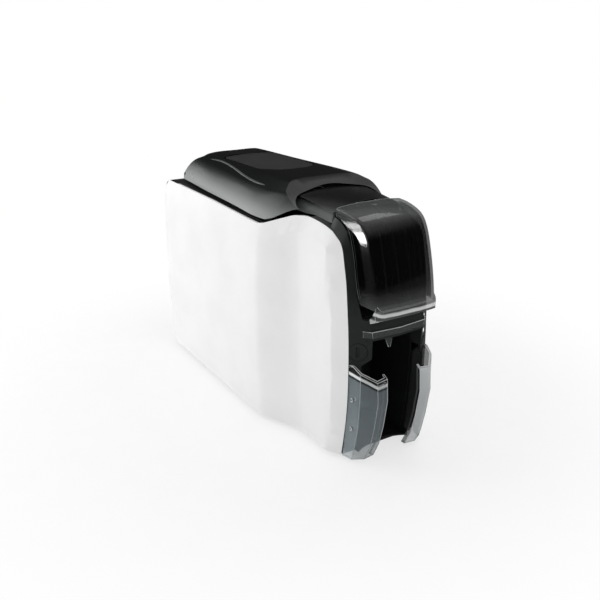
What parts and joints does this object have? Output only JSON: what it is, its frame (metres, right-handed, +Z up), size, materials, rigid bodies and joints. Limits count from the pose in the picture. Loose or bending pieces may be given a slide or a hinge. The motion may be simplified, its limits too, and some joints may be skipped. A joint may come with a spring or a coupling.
{
  "type": "id card printer",
  "caption": "Desktop id card printer with white side panels, black hinged lid, smoked card hood, output bin with clear guards, ribbon, print head and belt-driven rollers.",
  "frame": {"origin": "middle of the footprint on the table", "axes": "+X to the right seen from the front, +Y to the back, +Z up; the front faces -Y"},
  "size_m": [0.1552, 0.386, 0.252],
  "materials": {
    "shell_white": "satin",
    "dark_plastic": "satin",
    "smoked_clear": "polished",
    "steel_plate": "brushed",
    "rubber_black": "matte",
    "icon_white": "satin",
    "ribbon_film": "polished",
    "board_green": "satin",
    "chip_black": "matte",
    "shaft_chrome": "polished",
    "head_alloy": "satin",
    "cassette_grey": "satin",
    "roller_grey": "matte"
  },
  "bodies": {
    "chassis": {"side_panel_left": "shell_white", "side_panel_right": "shell_white", "front_fascia": "dark_plastic", "feeder_cap": "dark_plastic", "hood_hinge_pin": "shaft_chrome", "output_guard_left": "smoked_clear", "output_guard_right": "smoked_clear", "exit_ledge": "dark_plastic", "exit_tongue": "dark_plastic", "lock_plug": "dark_plastic", "indicator_panel": "dark_plastic", "status_lights": "icon_white", "output_bin": "dark_plastic", "hopper_tray": "dark_plastic", "card_gate": "dark_plastic", "base_tray": "dark_plastic", "rubber_feet": "rubber_black", "top_deck": "dark_plastic", "rear_cover": "dark_plastic", "cover_screws": "shaft_chrome", "lid_hinge_pin": "shaft_chrome", "frame_left": "steel_plate", "frame_right": "steel_plate", "frame_bushes": "shaft_chrome", "pick_hangers": "steel_plate", "track_bed": "dark_plastic", "drive_belt": "rubber_black", "drive_motor": "steel_plate", "ribbon_cassette": "cassette_grey", "ribbon_film": "ribbon_film", "main_board": "board_green", "board_chips": "chip_black", "power_socket": "chip_black", "network_socket": "steel_plate", "data_socket": "steel_plate"},
    "hood_body": {"hood": "smoked_clear"},
    "lid": {"top_lid": "dark_plastic", "pad_hinge_pins": "shaft_chrome", "print_head": "head_alloy", "head_cradle": "steel_plate"},
    "pad": {"release_pad": "dark_plastic"},
    "latch": {"latch_bar": "steel_plate"},
    "button": {"power_button": "dark_plastic"},
    "exit_drive": {"exit_shaft": "shaft_chrome", "exit_roller": "rubber_black"},
    "front_drive": {"front_shaft": "shaft_chrome", "front_roller": "rubber_black"},
    "platen_drive": {"platen_shaft": "shaft_chrome", "platen_roller": "rubber_black"},
    "rear_drive": {"rear_shaft": "shaft_chrome", "rear_roller": "rubber_black"},
    "motor_rotor": {"motor_pulley": "head_alloy"},
    "front_idler": {"pinch_roller_front": "roller_grey"},
    "rear_idler": {"pinch_roller_rear": "roller_grey"},
    "cleaner": {"cleaning_roller": "roller_grey"},
    "picker": {"pick_roller": "roller_grey"},
    "supply_spool": {"supply_core": "cassette_grey", "supply_film": "ribbon_film"},
    "takeup_spool": {"takeup_core": "cassette_grey", "takeup_film": "ribbon_film"}
  },
  "joints": [
    {"name": "hood_hinge", "type": "hinge", "parent": "chassis", "child": "hood_body", "pos_m": [0, -0.1255, 0.2406], "axis": [-1, 0, 0], "range_deg": [0, 70]},
    {"name": "lid_hinge", "type": "hinge", "parent": "chassis", "child": "lid", "pos_m": [0, 0.17, 0.2225], "axis": [-1, 0, 0], "range_deg": [0, 75]},
    {"name": "pad_hinge", "type": "hinge", "parent": "lid", "child": "pad", "pos_m": [0, 0.097, 0.2462], "axis": [1, 0, 0], "range_deg": [0, 1.5], "stiffness_Nm_per_rad": 3, "springref_deg": -1.15},
    {"name": "latch_turn", "type": "hinge", "parent": "lid", "child": "latch", "pos_m": [0, 0.022, 0.236], "axis": [-1, 0, 0], "range_deg": [0, 7.5]},
    {"name": "power_press", "type": "slide", "parent": "chassis", "child": "button", "axis": [0, 1, 0], "range_m": [0, 0.0008], "stiffness_N_per_m": 400, "springref_m": -0.0005},
    {"name": "platen_turn", "type": "hinge", "parent": "chassis", "child": "platen_drive", "pos_m": [0, 0.02, 0.118], "axis": [1, 0, 0], "continuous": true},
    {"name": "exit_turn", "type": "hinge", "parent": "chassis", "child": "exit_drive", "pos_m": [0, -0.088, 0.118], "axis": [1, 0, 0], "continuous": true},
    {"name": "front_turn", "type": "hinge", "parent": "chassis", "child": "front_drive", "pos_m": [0, -0.036, 0.118], "axis": [1, 0, 0], "continuous": true},
    {"name": "rear_turn", "type": "hinge", "parent": "chassis", "child": "rear_drive", "pos_m": [0, 0.078, 0.118], "axis": [1, 0, 0], "continuous": true},
    {"name": "motor_turn", "type": "hinge", "parent": "chassis", "child": "motor_rotor", "pos_m": [0, 0.122, 0.118], "axis": [1, 0, 0], "continuous": true},
    {"name": "front_idler_turn", "type": "hinge", "parent": "chassis", "child": "front_idler", "pos_m": [0, -0.036, 0.1314], "axis": [1, 0, 0], "continuous": true},
    {"name": "rear_idler_turn", "type": "hinge", "parent": "chassis", "child": "rear_idler", "pos_m": [0, 0.078, 0.1314], "axis": [1, 0, 0], "continuous": true},
    {"name": "cleaner_turn", "type": "hinge", "parent": "chassis", "child": "cleaner", "pos_m": [0, -0.066, 0.14447], "axis": [1, 0, 0], "continuous": true},
    {"name": "pick_turn", "type": "hinge", "parent": "chassis", "child": "picker", "pos_m": [0, -0.122, 0.13882], "axis": [1, 0, 0], "continuous": true},
    {"name": "supply_turn", "type": "hinge", "parent": "chassis", "child": "supply_spool", "pos_m": [0, 0.096, 0.186], "axis": [1, 0, 0], "continuous": true},
    {"name": "takeup_turn", "type": "hinge", "parent": "chassis", "child": "takeup_spool", "pos_m": [0, -0.044, 0.186], "axis": [1, 0, 0], "continuous": true}
  ],
  "couplings": [
    {"joint": "exit_turn", "follows": "platen_turn", "ratio": 1},
    {"joint": "front_turn", "follows": "platen_turn", "ratio": 1},
    {"joint": "rear_turn", "follows": "platen_turn", "ratio": 1},
    {"joint": "motor_turn", "follows": "platen_turn", "ratio": 1},
    {"joint": "latch_turn", "follows": "pad_hinge", "ratio": 5}
  ]
}
